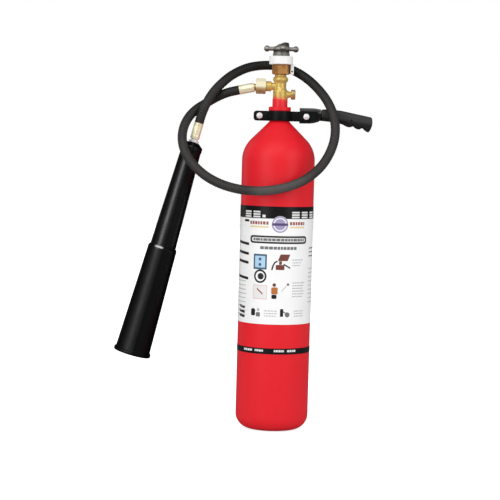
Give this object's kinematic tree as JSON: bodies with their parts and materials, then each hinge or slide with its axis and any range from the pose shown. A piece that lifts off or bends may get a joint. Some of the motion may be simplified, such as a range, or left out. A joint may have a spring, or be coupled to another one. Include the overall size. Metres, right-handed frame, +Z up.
{
  "type": "fire extinguisher",
  "caption": "Tall red gas cylinder with a brass handwheel valve, strap-clamped side handle, looped black hose and a long black discharge horn; stands upright.",
  "frame": {"origin": "centre of the cylinder's flat foot, where it meets the floor", "axes": "+Z up along the cylinder, +X towards the carrying handle, -X towards the valve outlet, -Y towards the label's face"},
  "size_m": [0.4857, 0.1655, 0.743],
  "materials": {
    "red_paint": "glossy enamel",
    "black_paint": "semi-gloss enamel",
    "label": "printed film",
    "black_band": "printed film",
    "brass": "machined",
    "pale_gold": "plated",
    "copper_alloy": "machined",
    "zinc_steel": "bright zinc plate",
    "cast_metal": "sand cast",
    "white_plastic": "moulded",
    "nylon": "turned",
    "hose_rubber": "cloth wrapped rubber",
    "horn_plastic": "moulded, glossy",
    "grip_plastic": "moulded, satin"
  },
  "bodies": {
    "root": {"cylinder_shell": "red_paint", "label_sleeve": "label", "lower_label_band": "black_band", "neck_ring": "red_paint", "valve_body": "brass", "gland_nut": "copper_alloy", "gland_packing": "nylon", "packing_follower": "brass", "safety_cap": "brass", "burst_disc": "copper_alloy", "disc_washer": "copper_alloy", "dip_tube": "zinc_steel", "tamper_collar": "white_plastic", "union_nut": "pale_gold", "hose_nipple": "brass", "ferrule_valve_end": "pale_gold", "hose": "hose_rubber", "strap_rear": "black_paint", "strap_front": "black_paint", "clamp_bolt_left": "zinc_steel", "clamp_bolt_right": "zinc_steel", "clamp_washer_left": "zinc_steel", "clamp_washer_right": "zinc_steel", "clamp_nut_left": "zinc_steel", "clamp_nut_right": "zinc_steel", "handle_frame": "black_paint", "handle_grip": "grip_plastic", "grip_pin_1": "black_paint", "grip_pin_2": "black_paint"},
    "handwheel": {"handwheel": "cast_metal", "spindle": "zinc_steel", "wheel_washer": "zinc_steel", "wheel_nut": "zinc_steel"},
    "plug": {"valve_plug": "brass", "plug_seal": "nylon"},
    "horn": {"ferrule_horn_end": "pale_gold", "horn_nipple": "zinc_steel", "horn_jet": "brass", "horn_upper": "horn_plastic", "horn_lower": "horn_plastic"}
  },
  "joints": [
    {"name": "handwheel_turn", "type": "hinge", "parent": "root", "child": "handwheel", "pos_m": [0, 0, 0.73], "axis": [0, 0, 1], "range_deg": [0, 900]},
    {"name": "plug_lift", "type": "slide", "parent": "handwheel", "child": "plug", "axis": [0, 0, 1], "range_m": [0, 0.0038]},
    {"name": "horn_swing", "type": "hinge", "parent": "root", "child": "horn", "pos_m": [-0.14854, -0.012, 0.60472], "axis": [0, 1, 0], "range_deg": [-17, 10], "stiffness_Nm_per_rad": 3, "springref_deg": 3.44, "deforming": ["hose"]}
  ],
  "couplings": [
    {"joint": "plug_lift", "follows": "handwheel_turn", "m_per_rad": 0.00023873}
  ]
}
